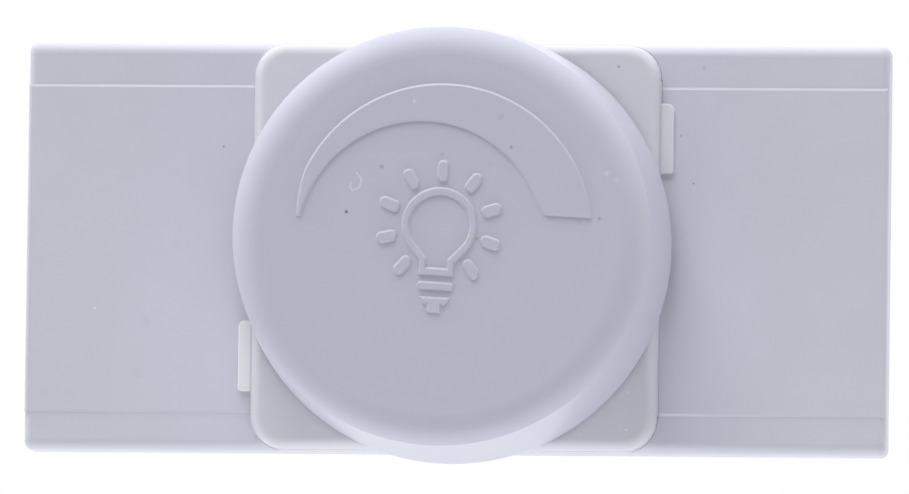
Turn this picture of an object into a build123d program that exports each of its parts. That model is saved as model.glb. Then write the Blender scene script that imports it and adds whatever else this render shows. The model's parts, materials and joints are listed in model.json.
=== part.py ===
from build123d import *
from math import cos, radians, sin
import os

os.makedirs("parts", exist_ok=True)

# Rotary dimmer module, three module places wide. X runs right and Z up, seen from the front,
# and the front faces -Y. The origin is on the knob's axis, in the plane of the plate's rear rim.
# A level is a distance in front of that plane: it is negative inside the wall.

# Fits
seat_gap = 0.15
running_gap = 0.05
contact_gap = 0.02
inner_gap = 0.3

# Cover plate
plate_width = 67.5
plate_height = 32.0
plate_depth = 3.6
plate_skin = 1.6
plate_rim = 1.5
plate_long_radius = 0.9
plate_end_radius = 0.6
band_height = 25.7
band_offset = -0.2
band_rise = 0.1
band_slope = 0.2
band_end_radius = 0.3
seat_depth = 0.6

# Dial base: the rounded square under the knob, on a block that fills the plate's opening
block_side = 0.06
block_overlap = 0.3
block_rise = 0.15
block_flange = 0.675
block_corner = 0.15
block_edge_radius = 0.1
bezel_inset = 0.14
bezel_rise = 1.2
bezel_corner = 2.6
bezel_edge_radius = 0.85
foot_reach = 0.055
foot_rise = 0.3
foot_edge_radius = 0.05
base_floor = 1.6
spigot_length = 4.0
spigot_wall = 1.4
tab_reach = 0.975
tab_root = 0.5
tab_length = 5.5
tab_inset = 1.8
tab_rise = 0.3
tab_upper_corner = 0.5
tab_lower_corner = 0.3
tab_edge_radius = 0.1

# Knob
rest_angle = 3.3
knob_gap = 0.3
knob_overhang = 1.165
knob_draft = 0.8
knob_height = 12.1
knob_top_radius = 2.6
knob_shoulder_angle = 30
knob_lip_radius = 0.15
knob_wall = 1.5
knob_cap = 1.8
hub_radius = 4.6
hub_gap = 0.5
hub_bore_floor = 0.9
rib_count = 6
rib_thickness = 1.0
rib_height = 3.5
rib_root = 0.5

# Raised pictograms on the knob
relief_x = 0.08
relief_y = -0.06
relief_height = 0.2
relief_angle = 40
crescent_radius = 11.8
crescent_width = 2.3
crescent_inner_x = -1.55
crescent_inner_y = -0.73
crescent_hook_x = 0.16
crescent_hook_y = 1.4
crescent_hook_radius = 11.5
crescent_flat_x = 6.2
crescent_flat_y = 4.6
crescent_end_x = 7.93
crescent_end_y = 1.9
crescent_cut_y = 2.08
crescent_start_y = 0.8
crescent_tip_radius = 0.19
bulb_centre_x = -0.155
bulb_centre_y = 0.8
bulb_radius = 2.97
bulb_stroke = 0.65
bulb_side_angle = 37
neck_half_width = 1.43
neck_overlap = 0.11
neck_length = 1.07
collar_gap = 0.425
collar_width = 2.87
collar_height = 0.69
cap_gap = 0.505
cap_half_width = 1.3
cap_foot_half_width = 0.82
cap_length = 0.65
nub_half_width = 0.6
nub_length = 0.6
ray_count = 9
ray_length = 1.73
ray_width = 0.95
ray_gap = 0.365
ray_angle = 35.2

# Potentiometer
shaft_radius = 3.0
shaft_flat = 1.5
tail_radius = 2.0
bushing_radius = 3.5
bushing_length = 4.6
bushing_flange_radius = 4.75
bushing_flange = 0.8
washer_radius = 6.0
washer_thickness = 0.5
nut_width = 10.0
nut_height = 2.0
can_radius = 8.5
can_wall = 0.5
can_depth = 8.0
wafer_thickness = 1.2
track_inset = 1.6
track_width = 1.6
track_thickness = 0.15
track_arc = 300
disc_gap = 1.2
disc_thickness = 1.6
wiper_strip = 0.25
wiper_width = 1.4
wiper_gap = 0.15
wiper_reach = 1.2
lug_count = 3
lug_pitch = 4.0
lug_width = 1.6
lug_thickness = 0.4
lug_start = 5.0

# On and off switch behind the potentiometer
switch_corner = 1.0
switch_wall = 1.0
switch_front_wall = 1.2
switch_depth = 7.4
cam_hub_radius = 3.2
cam_reach = 4.6
cam_finger_width = 1.8
cam_thickness = 2.6
cam_setback = 0.6
cam_angle = 210
pivot_radius = 0.5
eye_radius = 1.1
lever_width = 1.4
lever_length = 7.6
blade_thickness = 0.25
blade_length = 4.2
blade_width = 1.4
blade_gap = 0.1
contact_thickness = 0.25
contact_length = 1.4

# Circuit board and the bosses that hold it
board_side_gap = 0.9
board_end_gap = 0.5
board_thickness = 1.6
boss_radius = 2.8
boss_side_gap = 0.3
boss_end_gap = 0.2
pillar_radius = 3.0
screw_radius = 1.3
screw_clearance = 0.2
screw_grip = 8.0
screw_tip = 1.0
screw_head_radius = 2.4
screw_head_height = 1.2
head_recess = 1.4
cross_width = 0.7
cross_length = 2.8
cross_depth = 0.7

# Rear housing
housing_side = 3.75
housing_end = 2.2
housing_length = 29.2
housing_wall = 1.6
housing_corner = 1.0
catch_inset = 10.0
catch_width = 7.0
catch_reach = 0.6
catch_land = 0.6
catch_slope = 3.2
frame_thickness = 1.8
vent_count = 4
vent_pitch = 2.8
vent_width = 1.4
vent_length = 8.0
vent_drop = 3.2

# Terminals, with rising cages
pole_z = 5.6
terminal_wall = 1.2
conductor_radius = 1.3
insulation_radius = 1.8
insulation_recess = 1.4
cage_width = 5.6
cage_length = 5.0
cage_side = 0.8
cage_floor = 1.0
cage_roof = 1.2
cage_travel = 2.0
bar_thickness = 0.8
bar_width = 3.4
clamp_radius = 1.45
clamp_head_radius = 2.2
clamp_head_height = 1.5
clamp_chamber = 1.8
clamp_seat = 0.8
clamp_slot_width = 0.7
clamp_slot_depth = 0.6
driver_radius = 2.0

# Power parts behind the board
core_outer_radius = 7.0
core_inner_radius = 3.5
core_height = 5.0
winding_thickness = 0.9
winding_edge_radius = 0.8
winding_arc = 320
sink_thickness = 1.5
sink_side_gap = 0.6
sink_end_gap = 1.2
sink_floor_gap = 1.1
triac_gap = 0.2
triac_width = 10.0
triac_length = 15.6
triac_body_length = 9.2
triac_body_thickness = 3.2
triac_tab_thickness = 1.3
triac_lead_count = 3
triac_lead_pitch = 2.54
triac_lead_width = 0.8
triac_lead_thickness = 0.5
triac_lead_reach = 2.5
triac_lead_setback = 1.3
rivet_radius = 1.55
rivet_head_radius = 2.8
rivet_head_height = 1.0
rivet_tail_radius = 2.3
rivet_tail_height = 0.8
rivet_from_end = 2.8

# Small parts in front of the board
fuse_inset = 3.2
fuse_lift = 3.4
fuse_length = 20.0
fuse_glass_radius = 2.4
fuse_glass_wall = 0.4
fuse_wire_radius = 0.15
fuse_cap_radius = 2.6
fuse_cap_length = 5.0
fuse_cap_wall = 0.4
clip_width = 4.0
clip_thickness = 0.4
clip_height = 4.7
lead_row_gap = 4.5
lead_row_pitch = 2.9
lead_row_z = 5.6
resistor_radius = 1.15
resistor_length = 6.2
resistor_wire = 0.3
diac_radius = 0.95
diac_length = 4.0
diac_wire = 0.28
lead_span = 10.0
lead_lift = 1.6
lead_bend = 0.7
film_inset = 7.3
film_end_gap = 1.6
film_width = 6.0
film_length = 13.0
film_height = 11.0
timing_inset = 2.5
timing_pitch = 6.4
timing_end_gap = 0.5
timing_width = 2.6
timing_length = 7.2
timing_height = 6.5
capacitor_edge_radius = 0.5

# Levels and places that follow from the sizes above
strip_level = plate_depth - band_rise
seat_level = plate_depth - seat_depth
band_top = band_offset + band_height / 2
band_bottom = band_offset - band_height / 2
plate_inside = plate_depth - plate_skin
bezel_size = plate_height - 2 * bezel_inset
foot_size = bezel_size + 2 * foot_reach
block_width = foot_size + 2 * block_side
block_height = band_height + 2 * block_overlap
plug_width = block_width - 2 * block_flange
plug_height = block_height - 2 * block_flange
tab_centre = block_height / 2 - tab_inset - tab_length / 2
tab_level = plate_depth + tab_rise
block_level = plate_depth + block_rise
foot_level = plate_depth + foot_rise
bezel_level = plate_depth + bezel_rise
floor_rear = bezel_level - base_floor
knob_base = bezel_level + knob_gap
knob_top = knob_base + knob_height
knob_shoulder = knob_top - knob_top_radius * (1 - sin(radians(knob_shoulder_angle)))
knob_inside = knob_top - knob_cap
knob_base_radius = bezel_size / 2 + knob_overhang
knob_shoulder_radius = knob_base_radius - knob_draft
knob_edge_radius = knob_shoulder_radius - knob_top_radius * cos(radians(knob_shoulder_angle))
hub_base = floor_rear + bushing_length + hub_gap
hub_bore_end = knob_inside - hub_bore_floor
shaft_end = hub_bore_end - inner_gap
crescent_inner_radius = crescent_radius - crescent_width
bulb_side_x = bulb_radius * cos(radians(bulb_side_angle))
bulb_side_y = -bulb_radius * sin(radians(bulb_side_angle))
neck_top_y = neck_overlap - bulb_radius
neck_bottom_y = neck_top_y - neck_length
collar_y = neck_bottom_y - collar_gap - collar_height / 2
cap_top_y = collar_y - collar_height / 2 - cap_gap
cap_foot_y = cap_top_y - cap_length
nub_bottom_y = cap_foot_y - nub_length
ray_radius = bulb_radius + ray_gap + ray_length / 2
can_rear = floor_rear - can_depth
can_inside = floor_rear - can_wall
flange_rear = can_inside - bushing_flange
wafer_front = can_rear + wafer_thickness
disc_rear = wafer_front + wiper_reach
disc_radius = can_radius - can_wall - disc_gap
track_radius = can_radius - can_wall - track_inset
wiper_radius = track_radius - track_width / 2
shaft_bore = shaft_radius + running_gap
tail_bore = tail_radius + inner_gap
switch_size = 2 * can_radius
lug_reach = switch_size / 2 + inner_gap + lug_thickness
switch_inside = can_rear - switch_front_wall
switch_inner_half = switch_size / 2 - switch_wall
cam_front = switch_inside - cam_setback
cam_rear = cam_front - cam_thickness
contact_low = contact_gap + contact_length / 2 - switch_inner_half
pivot_x = switch_inner_half - contact_thickness - blade_gap - blade_thickness - lever_width / 2
pivot_z = contact_low + contact_length / 2 + inner_gap + eye_radius
lever_side = pivot_x + lever_width / 2
lever_top = pivot_z + lever_length
board_front = can_rear - switch_depth
board_rear = board_front - board_thickness
housing_width = plate_width - 2 * housing_side
housing_height = plate_height - 2 * housing_end
housing_rear = plate_inside - housing_length
housing_floor = housing_rear + housing_wall
inner_half_width = housing_width / 2 - housing_wall
inner_height = housing_height - 2 * housing_wall
board_width = 2 * (inner_half_width - board_side_gap)
board_height = inner_height - 2 * board_end_gap
spigot_height = inner_height - 2 * inner_gap
screw_x = plug_width / 2 - boss_radius - boss_side_gap
screw_z = spigot_height / 2 - boss_radius - boss_end_gap
screw_hole = screw_radius + screw_clearance
screw_seat = housing_rear + head_recess
catch_x = housing_width / 2 - catch_inset
terminal_height = 2 * (pole_z + cage_width / 2 + seat_gap + terminal_wall)
terminal_right = inner_half_width - seat_gap
terminal_rear = housing_floor + seat_gap
cage_level = (board_rear + housing_floor) / 2
chamber_x = terminal_right - clamp_chamber
pocket_right = chamber_x - clamp_seat
roof_outer = pocket_right - seat_gap - cage_travel
roof_inner = roof_outer - cage_roof
bar_right = roof_inner - seat_gap
bar_left = bar_right - bar_thickness
wire_x = bar_left - conductor_radius
cage_inner = wire_x - conductor_radius
cage_outer = cage_inner - cage_floor
pocket_left = cage_outer - seat_gap
terminal_left = pocket_left - terminal_wall
pocket_rear = cage_level - cage_length / 2 - seat_gap
core_front = board_rear - winding_thickness
core_rear = core_front - core_height
sink_left = sink_side_gap - inner_half_width
sink_right = -screw_x - pillar_radius - sink_side_gap
sink_width = sink_right - sink_left
sink_x = (sink_left + sink_right) / 2
sink_height = inner_height - 2 * sink_end_gap
sink_rear = housing_floor + sink_floor_gap
sink_front = sink_rear + sink_thickness
vent_level = board_rear - vent_drop
triac_x = sink_left + sink_thickness + triac_gap + triac_width / 2
triac_tab_front = sink_front + triac_tab_thickness
triac_foot = -triac_length / 2
rivet_z = triac_length / 2 - rivet_from_end
fuse_x = fuse_inset - board_width / 2
lead_row_x = fuse_x + lead_row_gap
second_row_x = lead_row_x + lead_row_pitch
resistor_spots = [(lead_row_x, -lead_row_z), (lead_row_x, lead_row_z), (second_row_x, -lead_row_z)]
diac_spot = (second_row_x, lead_row_z)
film_spot = (board_width / 2 - film_inset, film_length / 2 + film_end_gap - board_height / 2)
timing_x = board_width / 2 - timing_inset
timing_lift = board_height / 2 - timing_length / 2 - timing_end_gap
timing_spots = [(timing_x - timing_pitch, timing_lift), (timing_x, timing_lift)]


def front(level):
    """Plane parallel to the plate, with X right, Z up and its normal towards the viewer."""
    return Plane.XZ.offset(level)


def turned(level, angle):
    """The same plane, turned about the knob's axis, anticlockwise from X as seen from the front."""
    right = (cos(radians(angle)), 0, sin(radians(angle)))
    return Plane(origin=(0, -level, 0), x_dir=right, z_dir=(0, -1, 0))


def dial(level):
    """The plane that turns with the knob, at rest."""
    return turned(level, -rest_angle)


def across(x):
    """Plane square to X, with Z as its local x and the level as its local y."""
    return Plane(origin=(x, 0, 0), x_dir=(0, 0, 1), z_dir=(1, 0, 0))


# Plane through the knob's axis: local x is the distance from the axis, local y the level
radial = Plane(origin=(0, 0, 0), x_dir=(1, 0, 0), z_dir=(0, 0, -1))


def save(part, label):
    """Labels a finished piece and writes it."""
    part.label = label
    export_step(part, f"parts/{label}.step")


# The raised band across the plate's face: its section, cut to the plate's ends with their own rounding
with BuildPart() as band:
    with BuildSketch(Plane.YZ):
        Polygon(
            (-seat_level, band_bottom),
            (-seat_level, band_top),
            (-strip_level, band_top),
            (-plate_depth, band_top - band_slope),
            (-plate_depth, band_bottom + band_slope),
            (-strip_level, band_bottom),
            align=None,
        )
    extrude(amount=plate_width / 2, both=True)
    with BuildSketch(Plane.XY) as band_ends:
        Polygon(
            (-plate_width / 2, 0),
            (plate_width / 2, 0),
            (plate_width / 2, -plate_depth),
            (-plate_width / 2, -plate_depth),
            align=None,
        )
        fillet(band_ends.vertices().sort_by(Axis.Y)[:2], band_end_radius)
    extrude(amount=plate_height / 2, both=True, mode=Mode.INTERSECT)

# Cover plate: a shallow tray with the band on its face, a pocket for the block and an opening in it
with BuildPart() as cover_plate:
    with BuildSketch(Plane.YZ) as plate_section:
        Polygon(
            (0, -plate_height / 2),
            (0, plate_height / 2),
            (-strip_level, plate_height / 2),
            (-strip_level, -plate_height / 2),
            align=None,
        )
        fillet(plate_section.vertices().sort_by(Axis.X)[:2], plate_long_radius)
    extrude(amount=plate_width / 2, both=True)
    end_edges = ShapeList()
    for end_face in cover_plate.faces().filter_by(Axis.X):
        end_edges += end_face.edges().sort_by(Axis.Y)[:-1]
    fillet(end_edges, plate_end_radius)
    add(band.part)
    with BuildSketch(front(0)):
        Rectangle(plate_width - 2 * plate_rim, plate_height - 2 * plate_rim)
    extrude(amount=plate_inside, mode=Mode.SUBTRACT)
    with BuildSketch(front(seat_level)):
        Rectangle(block_width + 2 * contact_gap, block_height + 2 * contact_gap)
        RectangleRounded(foot_size + 2 * contact_gap, foot_size + 2 * contact_gap, bezel_corner)
    extrude(amount=plate_depth, mode=Mode.SUBTRACT)
    with BuildSketch(front(0)):
        Rectangle(plug_width + 2 * seat_gap, plug_height + 2 * seat_gap)
    extrude(amount=plate_depth, mode=Mode.SUBTRACT)
save(cover_plate.part, "cover_plate")

# Dial base: block, foot and bezel, two tabs over the plate, a spigot and four long bosses behind
with BuildPart() as dial_base:
    with BuildSketch(front(plate_inside)):
        RectangleRounded(plug_width, plug_height, block_corner)
    extrude(amount=seat_level - plate_inside)
    with BuildSketch(front(seat_level)):
        RectangleRounded(block_width, block_height, block_corner)
    extrude(amount=block_level - seat_level)
    fillet(dial_base.faces().sort_by(Axis.Y)[0].edges(), block_edge_radius)
    with BuildSketch(front(seat_level)):
        RectangleRounded(foot_size, foot_size, bezel_corner)
    extrude(amount=foot_level - seat_level)
    fillet(dial_base.faces().sort_by(Axis.Y)[0].edges(), foot_edge_radius)
    with BuildSketch(front(plate_depth)):
        RectangleRounded(bezel_size, bezel_size, bezel_corner)
    extrude(amount=bezel_rise)
    fillet(dial_base.faces().sort_by(Axis.Y)[0].edges(), bezel_edge_radius)
    for side in (1, -1):
        outer_group = -1 if side > 0 else 0
        with BuildSketch(front(plate_depth)) as tab:
            with Locations((side * (block_width + tab_reach - tab_root) / 2, side * tab_centre)):
                Rectangle(tab_reach + tab_root, tab_length)
            fillet(tab.vertices().group_by(Axis.X)[outer_group].sort_by(Axis.Y)[-1], tab_upper_corner)
            fillet(tab.vertices().group_by(Axis.X)[outer_group].sort_by(Axis.Y)[0], tab_lower_corner)
        extrude(amount=tab_rise)
    tab_edges = dial_base.edges().filter_by_position(Axis.Y, -tab_level, -tab_level)
    tab_edges = tab_edges.filter_by(lambda e: abs(e.center().X) > block_width / 2 + contact_gap)
    fillet(tab_edges, tab_edge_radius)
    with BuildSketch(front(plate_inside)):
        RectangleRounded(plug_width, spigot_height, housing_corner)
    extrude(amount=-spigot_length)
    with BuildSketch(front(plate_inside - spigot_length)):
        Rectangle(plug_width - 2 * spigot_wall, spigot_height - 2 * spigot_wall)
    extrude(amount=floor_rear - plate_inside + spigot_length, mode=Mode.SUBTRACT)
    with BuildSketch(front(floor_rear)):
        with GridLocations(2 * screw_x, 2 * screw_z, 2, 2):
            Circle(boss_radius)
    extrude(amount=board_front - floor_rear)
    with BuildSketch(front(board_front)):
        with GridLocations(2 * screw_x, 2 * screw_z, 2, 2):
            Circle(screw_radius + contact_gap)
    extrude(amount=screw_grip + screw_tip, mode=Mode.SUBTRACT)
    with BuildSketch(front(floor_rear)):
        Circle(bushing_radius + running_gap)
    extrude(amount=base_floor, mode=Mode.SUBTRACT)
save(dial_base.part, "dial_base")

# Knob: a hollow cup with a rounded front edge, a hub with a D bore, ribs and raised pictograms
relief_plane = dial(knob_top) * Location((relief_x, relief_y, 0))
with BuildPart() as knob:
    with BuildSketch(radial):
        with BuildLine():
            Polyline(
                (0, knob_top),
                (0, knob_base),
                (knob_base_radius, knob_base),
                (knob_shoulder_radius, knob_shoulder),
            )
            CenterArc(
                (knob_edge_radius, knob_top - knob_top_radius),
                knob_top_radius,
                knob_shoulder_angle,
                90 - knob_shoulder_angle,
            )
            Line((knob_edge_radius, knob_top), (0, knob_top))
        make_face()
    revolve(axis=Axis.Y)
    fillet(knob.edges().filter_by(GeomType.CIRCLE).sort_by(Axis.Y)[-1], knob_lip_radius)
    with BuildSketch(radial) as hollow:
        with BuildLine():
            Polyline(
                (0, knob_inside),
                (0, knob_base),
                (knob_base_radius - knob_wall, knob_base),
                (knob_shoulder_radius - knob_wall, knob_inside),
                (0, knob_inside),
            )
        make_face()
        fillet(hollow.vertices().sort_by(Axis.Y)[-2:].sort_by(Axis.X)[-1], knob_wall)
    revolve(axis=Axis.Y, mode=Mode.SUBTRACT)
    with BuildSketch(dial(knob_inside)):
        Circle(hub_radius)
    extrude(amount=hub_base - knob_inside)
    with BuildSketch(dial(knob_inside)):
        with PolarLocations((hub_radius + knob_shoulder_radius) / 2 - rib_root, rib_count):
            Rectangle(knob_shoulder_radius - hub_radius, rib_thickness)
    extrude(amount=-rib_height)
    with BuildSketch(dial(hub_base)):
        Circle(shaft_radius + contact_gap)
        with Locations((0, shaft_flat + contact_gap + shaft_radius)):
            Rectangle(2 * hub_radius, 2 * shaft_radius, mode=Mode.SUBTRACT)
    extrude(amount=hub_bore_end - hub_base, mode=Mode.SUBTRACT)
    with BuildSketch(relief_plane) as crescent:
        Circle(crescent_radius)
        with Locations((crescent_hook_x, crescent_hook_y)):
            Circle(crescent_hook_radius, mode=Mode.INTERSECT)
        with Locations((crescent_inner_x, crescent_inner_y)):
            Circle(crescent_inner_radius, mode=Mode.SUBTRACT)
        Polygon(
            (0, 0),
            (crescent_end_x, crescent_end_y),
            (crescent_flat_x, crescent_flat_y),
            align=None,
            mode=Mode.SUBTRACT,
        )
        with Locations((-crescent_radius / 2, crescent_start_y - crescent_radius)):
            Rectangle(crescent_radius, 2 * crescent_radius, mode=Mode.SUBTRACT)
        with Locations((crescent_radius / 2, crescent_cut_y - crescent_radius)):
            Rectangle(crescent_radius, 2 * crescent_radius, mode=Mode.SUBTRACT)
        fillet(crescent.vertices().sort_by(Axis.X)[:2], crescent_tip_radius)
    extrude(amount=relief_height, taper=relief_angle)
    with BuildSketch(relief_plane):
        with Locations((bulb_centre_x, bulb_centre_y)):
            Circle(bulb_radius)
            Polygon(
                (-bulb_side_x, bulb_side_y),
                (-neck_half_width, neck_top_y),
                (-neck_half_width, neck_bottom_y),
                (neck_half_width, neck_bottom_y),
                (neck_half_width, neck_top_y),
                (bulb_side_x, bulb_side_y),
                align=None,
            )
        offset(amount=-bulb_stroke, kind=Kind.INTERSECTION, mode=Mode.SUBTRACT)
        with Locations((bulb_centre_x, bulb_centre_y + collar_y)):
            SlotOverall(collar_width, collar_height)
        with Locations((bulb_centre_x, bulb_centre_y)):
            Polygon(
                (-cap_half_width, cap_top_y),
                (-cap_foot_half_width, cap_foot_y),
                (-nub_half_width, cap_foot_y),
                (-nub_half_width, nub_bottom_y),
                (nub_half_width, nub_bottom_y),
                (nub_half_width, cap_foot_y),
                (cap_foot_half_width, cap_foot_y),
                (cap_half_width, cap_top_y),
                align=None,
            )
    extrude(amount=relief_height, taper=relief_angle)
    with BuildSketch(relief_plane):
        with Locations((bulb_centre_x, bulb_centre_y)):
            ray_spread = (ray_count - 1) * ray_angle
            with PolarLocations(ray_radius, ray_count, 90 - ray_spread / 2, ray_spread, endpoint=True):
                SlotOverall(ray_length, ray_width)
    extrude(amount=relief_height, taper=relief_angle)
save(knob.part, "knob")

# Potentiometer shaft: D section in the knob, full round in the bushing, thin tail to the switch
with BuildPart() as pot_shaft:
    with BuildSketch(dial(disc_rear)):
        Circle(shaft_radius)
    extrude(amount=shaft_end - disc_rear)
    with BuildSketch(dial(hub_base - inner_gap)):
        with Locations((0, shaft_flat + shaft_radius)):
            Rectangle(2 * hub_radius, 2 * shaft_radius)
    extrude(amount=shaft_end, mode=Mode.SUBTRACT)
    with BuildSketch(dial(disc_rear)):
        Circle(tail_radius)
    extrude(amount=cam_rear - disc_rear)
save(pot_shaft.part, "pot_shaft")

# Threaded bushing, with its flange inside the can
with BuildPart() as pot_bushing:
    with BuildSketch(front(flange_rear)):
        Circle(bushing_flange_radius)
    extrude(amount=bushing_flange)
    with BuildSketch(front(can_inside)):
        Circle(bushing_radius)
    extrude(amount=can_wall + bushing_length)
    with BuildSketch(front(flange_rear)):
        Circle(shaft_bore)
    extrude(amount=bushing_flange + can_wall + bushing_length, mode=Mode.SUBTRACT)
save(pot_bushing.part, "pot_bushing")

with BuildPart() as pot_washer:
    with BuildSketch(front(bezel_level)):
        Circle(washer_radius)
        Circle(bushing_radius + running_gap, mode=Mode.SUBTRACT)
    extrude(amount=washer_thickness)
save(pot_washer.part, "pot_washer")

with BuildPart() as pot_nut:
    with BuildSketch(front(bezel_level + washer_thickness)):
        RegularPolygon(nut_width / 2, 6, major_radius=False)
        Circle(bushing_radius + contact_gap, mode=Mode.SUBTRACT)
    extrude(amount=nut_height)
save(pot_nut.part, "pot_nut")

# Potentiometer can, open at the rear where the wafer closes it
with BuildPart() as pot_can:
    with BuildSketch(front(can_rear)):
        Circle(can_radius)
    extrude(amount=can_depth)
    with BuildSketch(front(can_rear)):
        Circle(can_radius - can_wall)
    extrude(amount=can_depth - can_wall, mode=Mode.SUBTRACT)
    with BuildSketch(front(can_inside)):
        Circle(bushing_radius + contact_gap)
    extrude(amount=can_wall, mode=Mode.SUBTRACT)
save(pot_can.part, "pot_can")

with BuildPart() as pot_wafer:
    with BuildSketch(front(can_rear)):
        Circle(can_radius - can_wall - contact_gap)
        Circle(tail_bore, mode=Mode.SUBTRACT)
    extrude(amount=wafer_thickness)
save(pot_wafer.part, "pot_wafer")

# Resistive track: a ring with a gap at the bottom, on the wafer's front face
track_gap = radians((360 - track_arc) / 2)
with BuildPart() as resistive_track:
    with BuildSketch(front(wafer_front)):
        Circle(track_radius)
        Circle(track_radius - track_width, mode=Mode.SUBTRACT)
        gap_corner = (2 * track_radius * sin(track_gap), -2 * track_radius * cos(track_gap))
        Polygon((0, 0), (-gap_corner[0], gap_corner[1]), gap_corner, align=None, mode=Mode.SUBTRACT)
    extrude(amount=track_thickness)
save(resistive_track.part, "resistive_track")

with BuildPart() as wiper_disc:
    with BuildSketch(dial(disc_rear)):
        Circle(disc_radius)
        Circle(shaft_radius + contact_gap, mode=Mode.SUBTRACT)
    extrude(amount=disc_thickness)
save(wiper_disc.part, "wiper_disc")

# Wiper contact: a strip on the disc's rear face with a finger that reaches to the track
with BuildPart() as wiper_contact:
    with BuildSketch(dial(disc_rear)):
        with Locations((0, (shaft_radius + wiper_radius + wiper_width) / 2)):
            Rectangle(wiper_width, wiper_radius + wiper_width - shaft_radius - 2 * inner_gap)
    extrude(amount=-wiper_strip)
    with BuildSketch(dial(disc_rear - wiper_strip)):
        with Locations((0, wiper_radius)):
            Rectangle(wiper_width, track_width - inner_gap)
    extrude(amount=wafer_front + track_thickness + wiper_gap - disc_rear + wiper_strip)
save(wiper_contact.part, "wiper_contact")

# Solder lugs: flat on the wafer's rear face, then back to the circuit board
with BuildPart() as pot_lugs:
    with BuildSketch(front(can_rear)):
        with Locations((0, -(lug_reach + lug_start) / 2)):
            with GridLocations(lug_pitch, 0, lug_count, 1):
                Rectangle(lug_width, lug_reach - lug_start)
    extrude(amount=-lug_thickness)
    with BuildSketch(front(can_rear)):
        with Locations((0, -lug_reach + lug_thickness / 2)):
            with GridLocations(lug_pitch, 0, lug_count, 1):
                Rectangle(lug_width, lug_thickness)
    extrude(amount=board_front - can_rear)
save(pot_lugs.part, "pot_lugs")

# Switch body: a box open towards the circuit board, with grooves for the lugs in its front
with BuildPart() as switch_body:
    with BuildSketch(front(board_front)):
        RectangleRounded(switch_size, switch_size, switch_corner)
    extrude(amount=switch_depth)
    with BuildSketch(front(board_front)):
        Rectangle(2 * switch_inner_half, 2 * switch_inner_half)
    extrude(amount=switch_depth - switch_front_wall, mode=Mode.SUBTRACT)
    with BuildSketch(front(switch_inside)):
        Circle(tail_bore)
    extrude(amount=switch_front_wall, mode=Mode.SUBTRACT)
    with BuildSketch(front(can_rear)):
        with Locations((0, -(lug_reach + lug_start - inner_gap) / 2)):
            with GridLocations(lug_pitch, 0, lug_count, 1):
                Rectangle(lug_width + 2 * inner_gap, lug_reach - lug_start + inner_gap)
    extrude(amount=-lug_thickness - seat_gap, mode=Mode.SUBTRACT)
save(switch_body.part, "switch_body")

# Cam on the shaft's tail, whose finger trips the lever at the end of the turn
with BuildPart() as switch_cam:
    with BuildSketch(turned(cam_rear, cam_angle)):
        Circle(cam_hub_radius)
        with Locations((cam_reach / 2, 0)):
            Rectangle(cam_reach, cam_finger_width)
        Circle(tail_radius + contact_gap, mode=Mode.SUBTRACT)
    extrude(amount=cam_thickness)
save(switch_cam.part, "switch_cam")

with BuildPart() as switch_pivot:
    with BuildSketch(front(switch_inside)):
        with Locations((pivot_x, pivot_z)):
            Circle(pivot_radius)
    extrude(amount=cam_rear - switch_inside - inner_gap)
save(switch_pivot.part, "switch_pivot")

with BuildPart() as switch_lever:
    with BuildSketch(front(cam_rear)):
        with Locations((pivot_x, pivot_z)):
            Circle(eye_radius)
        with Locations((pivot_x, pivot_z + lever_length / 2)):
            Rectangle(lever_width, lever_length)
        with Locations((pivot_x, pivot_z)):
            Circle(pivot_radius + running_gap, mode=Mode.SUBTRACT)
    extrude(amount=cam_thickness)
save(switch_lever.part, "switch_lever")

with BuildPart() as contact_blade:
    with BuildSketch(across(lever_side)):
        with Locations((lever_top - blade_length / 2, (cam_front + cam_rear) / 2)):
            Rectangle(blade_length, blade_width)
    extrude(amount=blade_thickness)
save(contact_blade.part, "contact_blade")

# Fixed contacts on the switch body's side wall, one at the blade's tip and one at the pivot
with BuildPart() as fixed_contacts:
    for contact_z in (lever_top - contact_length / 2, contact_low):
        with BuildSketch(front(board_front)):
            with Locations((switch_inner_half - contact_thickness / 2, contact_z)):
                Rectangle(contact_thickness, contact_length)
        extrude(amount=cam_front - board_front)
save(fixed_contacts.part, "fixed_contacts")

with BuildPart() as circuit_board:
    with BuildSketch(front(board_rear)):
        Rectangle(board_width, board_height)
        with GridLocations(2 * screw_x, 2 * screw_z, 2, 2):
            Circle(screw_hole, mode=Mode.SUBTRACT)
    extrude(amount=board_thickness)
save(circuit_board.part, "circuit_board")

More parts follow.
